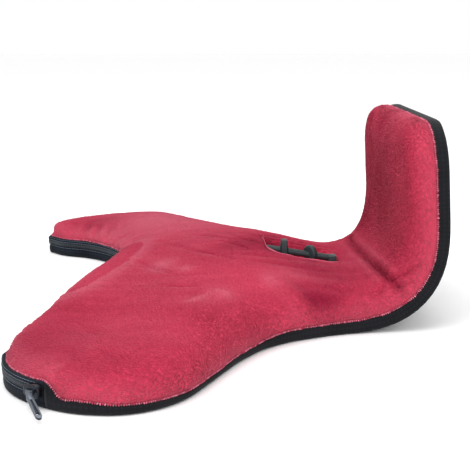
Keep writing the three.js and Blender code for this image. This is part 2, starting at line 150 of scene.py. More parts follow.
# Plush body
# The filled cushion under its top of short-pile polyester plush, cut to the whale tail outline,
# sewn to the bands round the edge and bent up at the head. The filling swells it between the seams.
def merged(node):
    """A CAD node's triangles with their shared corners joined."""
    mesh = bmesh.new()
    mesh.from_mesh(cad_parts[node].data)
    bmesh.ops.remove_doubles(mesh, verts=mesh.verts, dist=0.001 * mm)
    return mesh


def sharp_loops(mesh, angle):
    """The closed lines that a mesh's sharp edges make, each as points in order."""
    beside = {}
    for edge in mesh.edges:
        if edge.calc_face_angle(0) > angle:
            for a, b in (edge.verts, reversed(edge.verts)):
                beside.setdefault(a, []).append(b)
    loops = []
    while beside:
        here = next(iter(beside))
        loop = []
        while here in beside:
            loop.append(here.co[:])
            here = next((v for v in beside.pop(here) if v in beside), here)
        loops.append(np.array(loop))
    return loops


def unit(vectors):
    return vectors / np.linalg.norm(vectors, axis=-1, keepdims=True)


# The rim: stations round the underside panel's edge, from the middle of the head's top edge down the
# near side, round the tail and up the far side, each with its directions up from the panel and outwards.
panel_inset = 1.6 * mm
lower_edge, upper_edge = sorted(sharp_loops(merged("underside_panel"), math.radians(60)),
                                key=lambda loop: loop[:, 2].min())
on_top = lower_edge[:, 2] > lower_edge[:, 2].max() - mm
first = int(np.argmin(np.abs(lower_edge[:, 1]) + np.where(on_top, 0, 1)))
rim = np.roll(lower_edge, -first, axis=0)
if rim[1, 1] > rim[0, 1]:
    rim = np.roll(rim[::-1], 1, axis=0)
over_it = np.linalg.norm(rim[:, None] - upper_edge[None], axis=2).argmin(axis=1)
rim_up = unit(upper_edge[over_it] - rim)
rim_run = unit(np.roll(rim, -1, axis=0) - np.roll(rim, 1, axis=0))
rim_out = unit(np.cross(rim_up, rim_run))
rim_steps = np.linalg.norm(np.roll(rim, -1, axis=0) - rim, axis=1)
rim_at = np.concatenate([[0], np.cumsum(rim_steps)])
rim_length = rim_at[-1]

# The top of the bands at each station, which the seam of the plush follows.
band_points = np.array([v.co[:] for node in ("side_band", "zip_tape_upper")
                        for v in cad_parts[node].data.vertices])
band_top = np.empty(len(rim))
for i, (place, run, up) in enumerate(zip(rim, rim_run, rim_up)):
    away = band_points - place
    beside_station = (np.abs(away @ run) < 1.2 * mm) & (np.linalg.norm(away, axis=1) < 20 * mm)
    band_top[i] = (away[beside_station] @ up).max()


def round_the_rim(values, at):
    """Reads values known at the stations smoothly at any lengths round the rim."""
    at = np.mod(at, rim_length)
    i = np.clip(np.searchsorted(rim_at, at, side="right") - 1, 0, len(rim) - 1)
    after = (i + 1) % len(rim)
    step = rim_steps[i]
    part = (at - rim_at[i]) / step

    def slope(k):
        return (values[(k + 1) % len(rim)] - values[k - 1]).T / (rim_steps[k] + rim_steps[k - 1])

    a, b = values[i].T, values[after].T
    blend = 3 * part ** 2 - 2 * part ** 3
    smooth = (a + (b - a) * blend
              + slope(i) * step * (part - 2 * part ** 2 + part ** 3)
              + slope(after) * step * (part ** 3 - part ** 2))
    return smooth.T


def on_rim(at, outwards, height):
    """Points at lengths round the rim, so far outwards and so high over the panel."""
    out = unit(round_the_rim(rim_out, at))
    up = unit(round_the_rim(rim_up, at))
    return round_the_rim(rim, at) + out * (outwards + panel_inset)[:, None] + up * height[:, None]


def place_on_rim(points):
    """For each point: the nearest station, how far outwards of the rim it is, and how high."""
    station = np.empty(len(points), int)
    at_once = 2000
    for start in range(0, len(points), at_once):
        part = points[start:start + at_once]
        station[start:start + at_once] = np.linalg.norm(part[:, None] - rim[None], axis=2).argmin(axis=1)
    away = points - rim[station]
    return station, (away * rim_out[station]).sum(1) - panel_inset, (away * rim_up[station]).sum(1)


def seam_height(station):
    """How high over the panel the plush meets the bands."""
    return band_top[station] + 0.3 * mm


def mesh_points(mesh):
    points = np.empty(len(mesh.vertices) * 3)
    mesh.vertices.foreach_get("co", points)
    return points.reshape(-1, 3)


def mesh_normals(mesh):
    normals = np.empty(len(mesh.vertices) * 3)
    mesh.vertex_normals.foreach_get("vector", normals)
    return normals.reshape(-1, 3)


def set_points(mesh, points):
    mesh.vertices.foreach_set("co", points.ravel())
    mesh.update()


def settle(piece):
    """Makes what a piece's modifiers show its own mesh, and takes the modifiers off."""
    depsgraph = bpy.context.evaluated_depsgraph_get()
    made = bpy.data.meshes.new_from_object(piece.evaluated_get(depsgraph), depsgraph=depsgraph)
    piece.modifiers.clear()
    piece.data = made


def fade(values, full, none):
    """1 at full and beyond, 0 at none, and a soft slope between."""
    t = np.clip((values - none) / (full - none), 0, 1)
    return t * t * (3 - 2 * t)


plush_base, base_tree, base_shader = new_material(
    "plush_ground_cloth", roughness=0.95, sheen_weight=0.3, sheen_roughness=0.35,
    sheen_tint=linear("#FFA9BA"), specular_ior_level=0.1)
base_place = add_node(base_tree, "ShaderNodeTexCoord").outputs["Object"]
# Its colour follows the shade attribute: nap, with painted highlight, painted shade and painted sheen mixed
# in.
base_shade = add_node(base_tree, "ShaderNodeAttribute", attribute_name="shade").outputs["Fac"]
base_colour = add_node(base_tree, "ShaderNodeMix", {
    0: base_shade, 6: linear("#8F1C36"), 7: linear("#CB3F59")}, data_type="RGBA")
base_grain = add_node(base_tree, "ShaderNodeTexNoise", {"Vector": base_place, "Scale": 900.0, "Detail": 2.0})
base_bump = add_node(base_tree, "ShaderNodeBump", {
    "Height": base_grain.outputs["Fac"], "Strength": 0.3, "Distance": 0.4 * mm})
base_tree.links.new(base_colour.outputs[2], base_shader.inputs["Base Color"])
base_tree.links.new(base_bump.outputs["Normal"], base_shader.inputs["Normal"])

body = bpy.data.objects.new("plush_body", bpy.data.meshes.new("plush_body"))
bpy.context.scene.collection.objects.link(body)
cushion = merged("cushion")
cushion_tree = BVHTree.FromBMesh(cushion)
cushion.to_mesh(body.data)
remesh = body.modifiers.new("remesh", "REMESH")
remesh.mode = "VOXEL"
remesh.voxel_size = 3.3 * mm
settle(body)

# Back onto the solid's surface, and tucked in a little where the bands cover it.
points = np.array([cushion_tree.find_nearest(Vector(p))[0][:] for p in mesh_points(body.data)])
station, outwards, height = place_on_rim(points)
seam = seam_height(station)
tucked = (height < seam + 0.4 * mm) & (outwards > -7 * mm)
points[tucked] -= rim_out[station[tucked]] * 1.2 * mm

# What stays where it is: the underside, the seam and the slot with its lips.
slot_low, slot_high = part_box("stop_rail")
panel_tree = BVHTree.FromBMesh(merged("underside_panel"))


def beside_slot(points):
    """1 in the slot and at its lips, down to 0 at 14 mm from it."""
    away = np.maximum.reduce([
        slot_low.x - points[:, 0], points[:, 0] - slot_high.x, np.abs(points[:, 1]) - 20 * mm])
    return fade(-away, 0, -14 * mm)


def over_panel(points):
    """How far each point is from the panel, and which way is up from it."""
    nearest = [panel_tree.find_nearest(Vector(p)) for p in points]
    ups = unit(points - np.array([hit[0][:] for hit in nearest]) + 1e-9)
    return np.array([hit[3] for hit in nearest]), ups


off_panel, _ = over_panel(points)
near_seam = fade(seam + 1 * mm - height, 0, -5 * mm) * fade(outwards, -6 * mm, -14 * mm)
held = np.maximum.reduce([
    beside_slot(points), fade(-off_panel, -2 * mm, -9 * mm), near_seam])


def evened(mesh, values, share, rounds):
    """Draws each vertex's values to the mean of its neighbours', by its share, round after round."""
    edges = np.empty(len(mesh.edges) * 2, int)
    mesh.edges.foreach_get("vertices", edges)
    start, end = edges.reshape(-1, 2).T
    neighbours = np.bincount(edges, minlength=len(values))
    for _ in range(rounds):
        mean = [(np.bincount(start, column[end], len(values)) + np.bincount(end, column[start], len(values)))
                / neighbours for column in values.T]
        values = values + (np.transpose(mean) - values) * (0.5 * share)[:, None]
    return values


# The stretch of the plush evens out what the pattern pieces leave angular.
in_bend = (fade(points[:, 0], 106 * mm, 96 * mm) * fade(points[:, 2], 26 * mm, 20 * mm)
           * fade(-points[:, 2], -56 * mm, -74 * mm) * fade(off_panel, 13 * mm, 9 * mm))
points = evened(body.data, points, 1 - held, 14)
points = evened(body.data, points, in_bend, 70)
held = np.maximum(held, 0.85 * in_bend)
set_points(body.data, points)

# The filling's pressure, with each point's way capped.
swell_cap = 4 * mm
rest = points
pins = body.vertex_groups.new(name="held")
for i, weight in enumerate(held):
    pins.add([i], float(weight), "REPLACE")
cloth = body.modifiers.new("cloth", "CLOTH")
cloth.settings.vertex_group_mass = "held"
cloth.settings.quality = 5
cloth.settings.use_pressure = True
cloth.settings.uniform_pressure_force = 4
cloth.settings.effector_weights.gravity = 0
for step in range(1, 21):
    bpy.context.scene.frame_set(step)
blown = body.evaluated_get(bpy.context.evaluated_depsgraph_get())
way = mesh_points(blown.data) - rest
length = np.linalg.norm(way, axis=1)
way *= (np.minimum(length, swell_cap) / np.maximum(length, 1e-9))[:, None]
body.modifiers.clear()
body.vertex_groups.clear()
bpy.context.scene.frame_set(1)
points = rest + way
set_points(body.data, points)
finer = body.modifiers.new("finer", "SUBSURF")
finer.levels = finer.render_levels = 1
settle(body)

# The filling stands full in the roll along the notch and at the far lobe's tip, and the cover draws
# in the far flank beside the slot. Heights are in millimetres, against places round the rim or along x.
points = mesh_points(body.data)
along, across, up = points.T / mm
station, outwards, height = place_on_rim(points)
off_seam = fade(height - band_top[station], 3.3 * mm, 0.3 * mm)
rim_along, rim_across, _ = rim[station].T / mm
notch_roll = np.interp(
    rim_across, (-175, -165, -149, -140, -125, -100, -80, -60, -40, -25, -10, 10, 35, 60, 85),
    (0, 1.9, 3.8, 4.8, 5.4, 6.2, 5.9, 5.0, 5.2, 5.0, 4.9, 4.8, 4.4, 3, 0))
notch_roll *= fade(outwards, -12 * mm, -38 * mm) * fade(rim_out[station][:, 1], 0.1, -0.7)
notch_roll *= (rim_across < 90) & (rim_along < -15)
tip_roll = np.interp(along, (-90, -84, -78, -60, -40, -20), (3.6, 3.8, 3.2, 2.2, 1.2, 0))
tip_roll *= fade(across, 150, 120)
flank_hollow = 5.4 * np.exp(-((along - 98) / 34) ** 2 - ((across - 66) / 30) ** 2) * fade(up, 32, 48)
tip_swell = np.interp(along, (-84, -78, -70, -60), (3.3, 2.8, 1.2, 0)) * fade(across, 150, 128)
tip_swell *= fade(outwards, -6 * mm, -16 * mm)
lift = rim_out[station] * tip_swell[:, None]
lift[:, 2] += notch_roll + tip_roll - flank_hollow
lift = evened(body.data, lift, np.ones(len(points)), 60)
free_to_even = off_seam * (1 - beside_slot(points))
points = evened(body.data, points + lift * (off_seam * mm)[:, None], free_to_even, 8)
set_points(body.data, points)

# Folds and hollows, in millimetres: how deep, half how wide, and the line on the cover that each follows.
# A negative depth stands up.
folds = [
    (4.2, 1.9, [
        (117, 64, 27), (114, 25, 29), (116, -35, 29), (118, -60, 29), (120, -69, 28),
        (124, -75, 25), (127, -80, 21)]),
    (1.7, 1.6, [(119, -71, 29), (127, -75, 31), (135, -77, 36)]),
    (1.6, 1.5, [(122, -77, 26), (131, -81, 28)]),
    (0.9, 1.8, [(119, -72, 28), (111, -82, 23)]),
    (1.8, 1.8, [(117, 62, 27), (126, 70, 31)]),
    (1.2, 1.9, [(116, 60, 27), (108, 72, 23)]),
    (3.2, 6.0, [(70, -82, 24), (80, -88, 21), (88, -88, 20)]),
    (1.2, 4.0, [(62, -72, 27), (74, -82, 24)]),
    (0.9, 4.5, [(88, -84, 24), (101, -74, 25)]),
    (2.1, 7.0, [(56, -22, 33), (78, -23, 32), (102, -22, 31)]),
    (1.5, 1.9, [(13, 46, 31), (25, 32, 33), (37, 13, 35), (50, -2, 36)]),
    (1.2, 1.7, [(31, 10, 35), (47, -24, 36)]),
    (1.2, 1.7, [(39, 23, 36), (54, -8, 36)]),
    (1.0, 2.0, [(-6, 38, 28), (12, -4, 32), (26, -30, 34), (34, -46, 34)]),
    (-0.6, 2.0, [(16, -20, 33), (28, -37, 34), (36, -50, 34)]),
    (1.4, 2.4, [(-18, -17, 25), (-6, -44, 29), (3, -63, 30)]),
    (1.1, 2.2, [(-3, -84, 29), (14, -92, 30)]),
    (-0.7, 2.6, [(8, -120, 28), (14, -116, 29), (21, -104, 29)]),
    (-0.7, 2.4, [(22, -99, 29), (28, -103, 29), (31, -112, 28)]),
    (0.4, 3.0, [(-9, -62, 27), (18, -70, 31)]),
    (1.0, 3.2, [(-39, -150, 23), (-34, -160, 23)]),
    (1.1, 3.4, [(-48, -174, 21), (-44, -184, 21), (-39, -194, 20)]),
    (1.1, 3.4, [(-30, -184, 22), (-24, -193, 22)]),
    (0.7, 2.6, [(28, -32, 33), (70, -38, 31)]),
    (0.7, 3.0, [(44, -48, 30), (88, -52, 29)]),
    (1.6, 2.2, [(-60, 128, 16), (-57, 149, 20)]),
    (1.4, 2.2, [(-53, 120, 16), (-49, 140, 20)]),
    (1.1, 2.0, [(-42, 120, 18), (-40, 138, 22)]),
    (0.8, 1.8, [(-37, 48, 16), (-18, 44, 24)]),
    (1.0, 1.9, [(-37, 68, 16), (-16, 70, 24)]),
    (1.0, 1.9, [(-37, 84, 15), (-19, 88, 24)]),
    (1.0, 1.9, [(-39, 102, 15), (-26, 104, 21)]),
    (-3.6, 11.0, [(-54, -84, 22), (-44, -48, 24), (-34, -14, 25), (-26, 22, 26), (-22, 48, 26)]),
]
points = mesh_points(body.data)
normals = mesh_normals(body.data)
station, outwards, height = place_on_rim(points)
seam = seam_height(station)
off_panel, up_here = over_panel(points)
free = 1 - np.maximum(fade(-off_panel, -2 * mm, -6 * mm), fade(seam - height, 0, -2 * mm)
                      * fade(outwards, -6 * mm, -12 * mm))
smooth_body = BVHTree.FromPolygons(points.tolist(), [f.vertices[:] for f in body.data.polygons])
sunk = np.zeros(len(points))
for depth, half_width, line in folds:
    corners = np.array(line) * mm
    width = half_width * mm
    spots = np.concatenate([np.linspace(a, b, 40) for a, b in zip(corners, corners[1:])])
    spots = np.array([smooth_body.find_nearest(Vector(p))[0][:] for p in spots])
    spot_tree = KDTree(len(spots))
    for i, spot in enumerate(spots):
        spot_tree.insert(spot, i)
    spot_tree.balance()
    reach = 5 * width
    in_reach = ((points > spots.min(0) - reach) & (points < spots.max(0) + reach)).all(axis=1)
    for i in np.flatnonzero(in_reach):
        _, spot, away = spot_tree.find(points[i])
        taper = math.sin(math.pi * (0.12 + 0.76 * spot / len(spots)))
        if depth > 0:
            groove = math.exp(-(away / width) ** 1.5) - 0.12 * math.exp(-((away - 2.6 * width) / width) ** 2)
        else:
            groove = math.exp(-(away / width) ** 2)
        sunk[i] += depth * mm * taper * groove

# Soft lumps of the filling, and small puckers where the plush is gathered into the seam.
lump_size = 42 * mm
dent_size = 15 * mm
pucker_size = 9 * mm
lumps = np.array([noise.noise(Vector(p) / lump_size) for p in points]) * 1.0 * mm
dents = np.array([noise.noise(Vector(p) / dent_size + Vector((7, 3, 1))) for p in points]) * 0.3 * mm
puckers = np.array([noise.noise(Vector((rim_at[s] / pucker_size, 0, 5))) for s in station]) * 0.3 * mm
by_seam = fade(outwards, -2 * mm, -18 * mm) * fade(seam - height, -3 * mm, -14 * mm)
raised = (lumps + dents) * (1 - beside_slot(points)) * (1 - 0.7 * by_seam) + puckers * by_seam - sunk
points = points + normals * (raised * free)[:, None]

# At the seam the plush reaches the bands.
to_band = -1.75 * mm - outwards
skirt = fade(seam + 0.9 * mm - height, 0, -0.9 * mm) * fade(height - seam, -1.5 * mm, -2.5 * mm)
skirt *= (to_band > 0) & (to_band < 7 * mm)
points = points + rim_out[station] * (to_band * skirt)[:, None]
set_points(body.data, points)
body.data.shade_smooth()
body.data.materials.clear()
body.data.materials.append(plush_base)

# How the plush has been stroked: lighter and darker patches, and faint lines along the pillow.
# Painted light is mixed in as well: a painted highlight along the seams, painted shade in the folds,
# in the dimple and beside the slot, and painted sheen on the far crown.
patch_size = 52 * mm
stroke_length, stroke_width = 38 * mm, 6 * mm
patches = np.array([noise.fractal(Vector(p) / patch_size, 0.9, 2.1, 4) for p in points])
flat_along = points[:, 0] + np.maximum(points[:, 2] - 30 * mm, 0)
strokes = np.array([noise.fractal(Vector((along / stroke_length, p[1] / stroke_width, 0)), 0.8, 2.0, 3)
                    for along, p in zip(flat_along, points)])
# The by_seam share lightens the plush along the seams: a painted highlight.
shade = 0.65 + 0.16 * patches + 0.08 * strokes + 0.18 * by_seam
# Rows (80, -84), (84, -46) and (50, -12) are painted shade in the dimple and beside the slot, the second
# partly nap as well; row (10, 120) is painted sheen on the far crown.
for patch_x, patch_y, patch_reach, patch_strength in (
    (-4, -32, 13, 0.2), (27, -103, 9, 0.2), (60, -66, 20, 0.1), (-50, 150, 14, -0.15),
    (16, -60, 22, 0.22), (36, -86, 26, 0.15), (-66, -158, 24, -0.35), (80, -84, 12, -0.35),
    (84, -46, 26, -0.3), (50, -12, 16, -0.2), (10, 120, 30, 0.2),
):
    from_patch = np.hypot(points[:, 0] - patch_x * mm, points[:, 1] - patch_y * mm)
    shade += patch_strength * np.exp(-(from_patch / (patch_reach * mm)) ** 2)
# Painted shade: darker down in the folds and grooves, by how deep they sink.
shade -= 0.5 * np.clip(sunk / (3 * mm), 0, 1)
shades = body.data.attributes.new("shade", "FLOAT", "POINT")
shades.data.foreach_set("value", np.clip(shade, 0, 1))

# Where the pile stands up, its paler tips show: along the seams, on raised folds and in brushed spots.
# Along the seams this is partly painted sheen, and the two wide spots on the far half are painted sheen.
on_fold = np.clip(-sunk / mm, 0, 1) * (sunk > -1.4 * mm)
pale = 0.16 * by_seam + 0.03 * np.clip(strokes, 0, 1) + 0.22 * on_fold
# The spots at (-10, 140) and (20, 80) are painted sheen; the others are brushed spots.
for spot_x, spot_y, spot_long, spot_wide, strength in (
    (-4, -32, 8, 15, 0.22), (9, -52, 5, 7, 0.2), (27, -103, 8, 10, 0.17), (14, -116, 10, 8, 0.12),
    (54, -79, 6, 9, 0.16), (66, -70, 10, 7, 0.12), (-10, 140, 38, 55, 0.25), (20, 80, 40, 40, 0.08),
):
    from_spot = np.hypot((points[:, 0] / mm - spot_x) / spot_long, (points[:, 1] / mm - spot_y) / spot_wide)
    pale += strength * np.exp(-from_spot ** 2)
pales = body.data.attributes.new("pale", "FLOAT", "POINT")
pales.data.foreach_set("value", np.clip(pale, 0, 1))
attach(body, "root")
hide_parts("cushion")


# Pile
# Short polyester tufts, knitted into the ground cloth and stroked flat by use. Their lean wanders
# from patch to patch, which makes the lighter and darker nap, and they stand up along the seams.
def new_tree(name, **inputs):
    """A Geometry Nodes tree with a geometry input and named number inputs."""
    tree = bpy.data.node_groups.new(name, "GeometryNodeTree")
    tree.interface.new_socket("Geometry", in_out="INPUT", socket_type="NodeSocketGeometry")
    for label, value in inputs.items():
        kind = "NodeSocketInt" if isinstance(value, int) else "NodeSocketFloat"
        tree.interface.new_socket(label, in_out="INPUT", socket_type=kind).default_value = value
    tree.interface.new_socket("Geometry", in_out="OUTPUT", socket_type="NodeSocketGeometry")
    return tree, add_node(tree, "NodeGroupInput").outputs


def end_tree(tree, geometry, material):
    """Ends a tree in plain geometry with its material."""
    plain = add_node(tree, "GeometryNodeRealizeInstances", {"Geometry": geometry})
    dressed = add_node(tree, "GeometryNodeSetMaterial", {"Geometry": plain.outputs[0], "Material": material})
    add_node(tree, "NodeGroupOutput", {0: dressed.outputs[0]})


def grow(piece, tree, **values):
    """Runs a tree on a piece with its own values, and keeps the result as the piece's mesh."""
    modifier = piece.modifiers.new(tree.name, "NODES")
    modifier.node_group = tree
    for item in tree.interface.items_tree:
        if item.in_out == "INPUT" and item.name in values:
            modifier[item.identifier] = values[item.name]
    settle(piece)
    piece.data.shade_smooth()


plush_pile, pile_tree, pile_shader = new_material(
    "stroked_polyester_pile", roughness=0.9, sheen_weight=0.42, sheen_roughness=0.35,
    sheen_tint=linear("#FFB3C2"), specular_ior_level=0.1)
# The pile's colour follows the shade and pale attributes, which carry painted highlight, shade and sheen as
# well as nap.
pile_shade = add_node(pile_tree, "ShaderNodeAttribute", attribute_name="shade").outputs["Fac"]
pile_tone = add_node(pile_tree, "ShaderNodeAttribute", attribute_name="tone").outputs["Fac"]
pile_mix = add_node(pile_tree, "ShaderNodeMath", {
    0: pile_tone, 1: 0.1, 2: pile_shade}, operation="MULTIPLY_ADD")
pile_spread = add_node(pile_tree, "ShaderNodeMapRange", {
    "Value": pile_mix.outputs[0], "From Min": 0.0, "From Max": 1.18})
pile_lying = add_node(pile_tree, "ShaderNodeMix", {
    0: pile_spread.outputs["Result"], 6: linear("#8E1C38"), 7: linear("#CB3D58")}, data_type="RGBA")
# Paler pink by the pale attribute: standing tips, with painted sheen.
pile_pale = add_node(pile_tree, "ShaderNodeAttribute", attribute_name="pale").outputs["Fac"]
pile_colour = add_node(pile_tree, "ShaderNodeMix", {
    0: pile_pale, 6: pile_lying.outputs[2], 7: linear("#E58C9E")}, data_type="RGBA")
pile_tree.links.new(pile_colour.outputs[2], pile_shader.inputs["Base Color"])
pile_own = add_node(pile_tree, "ShaderNodeNewGeometry").outputs["Normal"]
pile_ground = add_node(pile_tree, "ShaderNodeAttribute", attribute_name="ground").outputs["Vector"]
pile_lay = add_node(pile_tree, "ShaderNodeMix", {0: 0.6, 4: pile_own, 5: pile_ground}, data_type="VECTOR")
pile_facing = add_node(pile_tree, "ShaderNodeVectorMath", {0: pile_lay.outputs[1]}, operation="NORMALIZE")
pile_tree.links.new(pile_facing.outputs[0], pile_shader.inputs["Normal"])

tufts, tuft_inputs = new_tree("tufts", Density=1.6e6, Length=1.2 * mm, Radius=0.27 * mm,
                              From=0.0, To=1.0, Seed=1)
sits_at = add_node(tufts, "GeometryNodeInputPosition").outputs[0]
sits_x = add_node(tufts, "ShaderNodeSeparateXYZ", {0: sits_at}).outputs["X"]
past_start = add_node(tufts, "FunctionNodeCompare", {
    0: sits_x, 1: tuft_inputs["From"]}, operation="GREATER_EQUAL")
before_end = add_node(tufts, "FunctionNodeCompare", {0: sits_x, 1: tuft_inputs["To"]}, operation="LESS_THAN")
in_zone = add_node(tufts, "FunctionNodeBooleanMath", {0: past_start.outputs[0], 1: before_end.outputs[0]})
grows, ruffle = [
    add_node(tufts, "GeometryNodeInputNamedAttribute", {"Name": name}, data_type="FLOAT").outputs[0]
    for name in ("pile", "ruffle")]
nap = add_node(tufts, "GeometryNodeInputNamedAttribute", {"Name": "nap"}, data_type="FLOAT_VECTOR").outputs[0]
thick_here = add_node(tufts, "ShaderNodeMath", {0: grows, 1: tuft_inputs["Density"]}, operation="MULTIPLY")
roots = add_node(tufts, "GeometryNodeDistributePointsOnFaces", {
    "Mesh": tuft_inputs["Geometry"], "Selection": in_zone.outputs[0],
    "Density": thick_here.outputs[0], "Seed": tuft_inputs["Seed"]})
stand = add_node(tufts, "ShaderNodeMath", {0: ruffle, 1: 0.5, 2: 0.3}, operation="MULTIPLY_ADD")
upright = add_node(tufts, "ShaderNodeVectorMath", {
    0: roots.outputs["Normal"], "Scale": stand.outputs[0]}, operation="SCALE")
stray = add_node(tufts, "FunctionNodeRandomValue", {
    0: (-1, -1, -1), 1: (1, 1, 1), "Seed": tuft_inputs["Seed"]}, data_type="FLOAT_VECTOR")
stray_part = add_node(tufts, "ShaderNodeMath", {0: ruffle, 1: 0.4, 2: 0.2}, operation="MULTIPLY_ADD")
strayed = add_node(tufts, "ShaderNodeVectorMath", {0: stray.outputs[0], "Scale": stray_part.outputs[0]},
                   operation="SCALE")
leaning = add_node(tufts, "ShaderNodeVectorMath", {0: nap, 1: strayed.outputs[0]})
lean = add_node(tufts, "ShaderNodeVectorMath", {0: upright.outputs[0], 1: leaning.outputs[0]})
turned = add_node(tufts, "FunctionNodeAlignRotationToVector", {"Vector": lean.outputs[0]}, axis="Z")
tuft = add_node(tufts, "GeometryNodeMeshCone", {
    "Vertices": 3, "Side Segments": 1, "Radius Top": 0.0, "Radius Bottom": tuft_inputs["Radius"],
    "Depth": tuft_inputs["Length"]})
tuft_size = add_node(tufts, "FunctionNodeRandomValue", {
    2: 0.7, 3: 1.3, "Seed": tuft_inputs["Seed"]}, data_type="FLOAT")
planted = add_node(tufts, "GeometryNodeInstanceOnPoints", {
    "Points": roots.outputs["Points"], "Instance": tuft.outputs["Mesh"],
    "Rotation": turned.outputs[0], "Scale": tuft_size.outputs[1]})
toned = add_node(tufts, "GeometryNodeStoreNamedAttribute", {
    "Geometry": planted.outputs[0], "Name": "tone",
    "Value": add_node(tufts, "FunctionNodeRandomValue", data_type="FLOAT").outputs[1],
}, data_type="FLOAT", domain="INSTANCE")
grounded = add_node(tufts, "GeometryNodeStoreNamedAttribute", {
    "Geometry": toned.outputs[0], "Name": "ground", "Value": roots.outputs["Normal"],
}, data_type="FLOAT_VECTOR", domain="INSTANCE")
end_tree(tufts, grounded.outputs[0], plush_pile)

# Where the pile shows, how ruffled it is, and the way it lies: back along the cover, with a sway.
normals = mesh_normals(body.data)
station, outwards, height = place_on_rim(points)
seam = seam_height(station)
under_band = (height < seam + 0.1 * mm) & (outwards > -8 * mm)
in_slot = (beside_slot(points) > 0.999) & (off_panel < 26 * mm)
at_rim = outwards > -4 * mm
cover_up = np.where(at_rim[:, None], rim_up[station], up_here)
along_cover = np.stack([cover_up[:, 2], 0 * cover_up[:, 1], -cover_up[:, 0]], axis=1)
sway_size = 48 * mm
flutter_size = 7 * mm
noise.seed_set(1)  # else the vectors come from the clock, and the pile lies another way in each run
sway = np.array([noise.noise_vector(Vector(p) / sway_size) for p in points])
flutter = np.array([noise.noise_vector(Vector(p) / flutter_size) for p in points])
nap_way = -0.8 * along_cover + 0.7 * sway + 0.12 * flutter
nap_way -= normals * (nap_way * normals).sum(1)[:, None]
ruffled = np.clip(0.55 * by_seam + 0.2 * np.abs(flutter[:, 0]), 0, 1)
for label, kind, values in (
    ("pile", "FLOAT", np.where(under_band | (off_panel < 1.2 * mm), 0.0, np.where(in_slot, 0.3, 1.0))),
    ("ruffle", "FLOAT", ruffled),
    ("nap", "FLOAT_VECTOR", unit(nap_way)),
):
    attribute = body.data.attributes.new(label, kind, "POINT")
    attribute.data.foreach_set("value" if kind == "FLOAT" else "vector", np.asarray(values).ravel())

# Four pieces of equal area, each with the same number of tufts.
face_areas = np.array([f.area for f in body.data.polygons])
face_x = np.array([f.center.x for f in body.data.polygons])
pile_values = np.empty(len(points))
body.data.attributes["pile"].data.foreach_get("value", pile_values)
face_share = face_areas * np.array([pile_values[list(f.vertices)].mean() for f in body.data.polygons])
by_x = np.argsort(face_x)
share_up_to = np.cumsum(face_share[by_x])
pile_pieces = 4
tufts_a_piece = 46000
pile_borders = [-1.0] + [
    float(face_x[by_x][np.searchsorted(share_up_to, share_up_to[-1] * k / pile_pieces)])
    for k in range(1, pile_pieces)] + [1.0]
tuft_density = float(tufts_a_piece * pile_pieces / share_up_to[-1])
for number, (zone_start, zone_end) in enumerate(zip(pile_borders, pile_borders[1:]), 1):
    pile = bpy.data.objects.new(f"plush_pile_{number}", body.data)
    bpy.context.scene.collection.objects.link(pile)
    grow(pile, tufts, From=zone_start, To=zone_end, Seed=number, Density=tuft_density)
    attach(pile, "root")


# Seam edge
# The plush is cut close to its seam, so a row of paler tips stands out between the stitches all round
# and hangs a little over the bands.
def rim_path(name, at, outwards, height):
    """A line of points round the rim that knows which way is outwards."""
    path_points = on_rim(at, outwards + 0 * at, height)
    mesh = bpy.data.meshes.new(name)
    mesh.from_pydata([tuple(p) for p in path_points], [(i, i + 1) for i in range(len(at) - 1)], [])
    outward = mesh.attributes.new("outward", "FLOAT_VECTOR", "POINT")
    outward.data.foreach_set("vector", unit(round_the_rim(rim_out, at)).ravel())
    piece = bpy.data.objects.new(name, mesh)
    bpy.context.scene.collection.objects.link(piece)
    return piece


def along_path(tree, geometry, pitch):
    """Points along a path at an even pitch, and the turn that lays X along it and Z outwards."""
    line = add_node(tree, "GeometryNodeMeshToCurve", {"Mesh": geometry})
    even = add_node(tree, "GeometryNodeResampleCurve", {
        "Curve": line.outputs[0], "Length": pitch}, mode="LENGTH")
    run = add_node(tree, "GeometryNodeInputTangent").outputs[0]
    outward = add_node(tree, "GeometryNodeInputNamedAttribute", {"Name": "outward"}, data_type="FLOAT_VECTOR")
    turn = add_node(tree, "FunctionNodeAxesToRotation", {
        "Primary Axis": run, "Secondary Axis": outward.outputs[0]}, primary_axis="X", secondary_axis="Z")
    return even.outputs[0], turn.outputs[0]


def seam_line(at):
    """The height of the bands' top at lengths round the rim."""
    return round_the_rim(band_top, at)


cut_pile, cut_tree, cut_shader = new_material(
    "cut_pile_edge", roughness=0.85, sheen_weight=0.2, sheen_roughness=0.35, sheen_tint=linear("#FFB8C6"),
    specular_ior_level=0.15)
cut_tone = add_node(cut_tree, "ShaderNodeAttribute", attribute_name="tone").outputs["Fac"]
cut_colour = add_node(cut_tree, "ShaderNodeMix", {
    0: cut_tone, 6: linear("#B23C56"), 7: linear("#E57F95")}, data_type="RGBA")
cut_tree.links.new(cut_colour.outputs[2], cut_shader.inputs["Base Color"])

